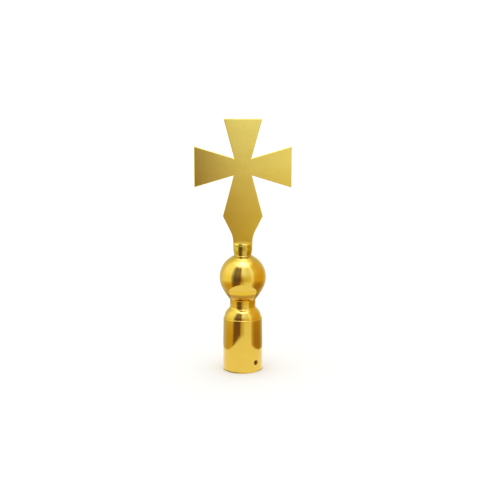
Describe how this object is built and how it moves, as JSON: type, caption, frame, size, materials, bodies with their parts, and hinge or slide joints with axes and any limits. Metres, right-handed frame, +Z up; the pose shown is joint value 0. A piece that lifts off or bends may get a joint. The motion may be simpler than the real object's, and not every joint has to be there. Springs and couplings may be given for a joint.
{
  "type": "processional cross head",
  "caption": "Brass cross pattee on a turned collar, hollow ball and ogee shoulder, over an open sleeve that takes a staff and grips it with a set screw.",
  "frame": {"origin": "centre of the sleeve's rim, which is the bottom centre of the bounding box", "axes": "+Z up along the staff's axis, the front of the cross faces -Y, and +X is to the right seen from the front"},
  "size_m": [0.0952, 0.0466, 0.25],
  "materials": {
    "brushed_brass": "fine satin grain, lacquered",
    "polished_brass": "mirror polished, lacquered",
    "zinc_steel": "bright zinc plate",
    "black_steel": "black oxide",
    "pad_brass": "plain turned"
  },
  "bodies": {
    "head": {"cross_plate": "brushed_brass", "cross_collar": "polished_brass", "ball_upper_shell": "polished_brass", "ball_lower_shell": "polished_brass", "neck_ring": "polished_brass", "socket_shoulder": "polished_brass", "socket_sleeve": "polished_brass", "tie_rod": "zinc_steel", "plain_washer": "zinc_steel", "spring_washer": "zinc_steel", "tie_nut": "zinc_steel"},
    "screw_pad": {"set_screw_pad": "pad_brass"},
    "screw": {"set_screw": "black_steel"}
  },
  "joints": [
    {"name": "set_screw_travel", "type": "slide", "parent": "head", "child": "screw_pad", "axis": [-0.6561, 0.7547, 0], "range_m": [-0.002, 0.0012]},
    {"name": "set_screw_turn", "type": "hinge", "parent": "screw_pad", "child": "screw", "pos_m": [0.01279, -0.01472, 0.01], "axis": [-0.6561, 0.7547, 0], "range_deg": [-900, 540]}
  ],
  "couplings": [
    {"joint": "set_screw_turn", "follows": "set_screw_travel", "rad_per_m": 7854}
  ]
}
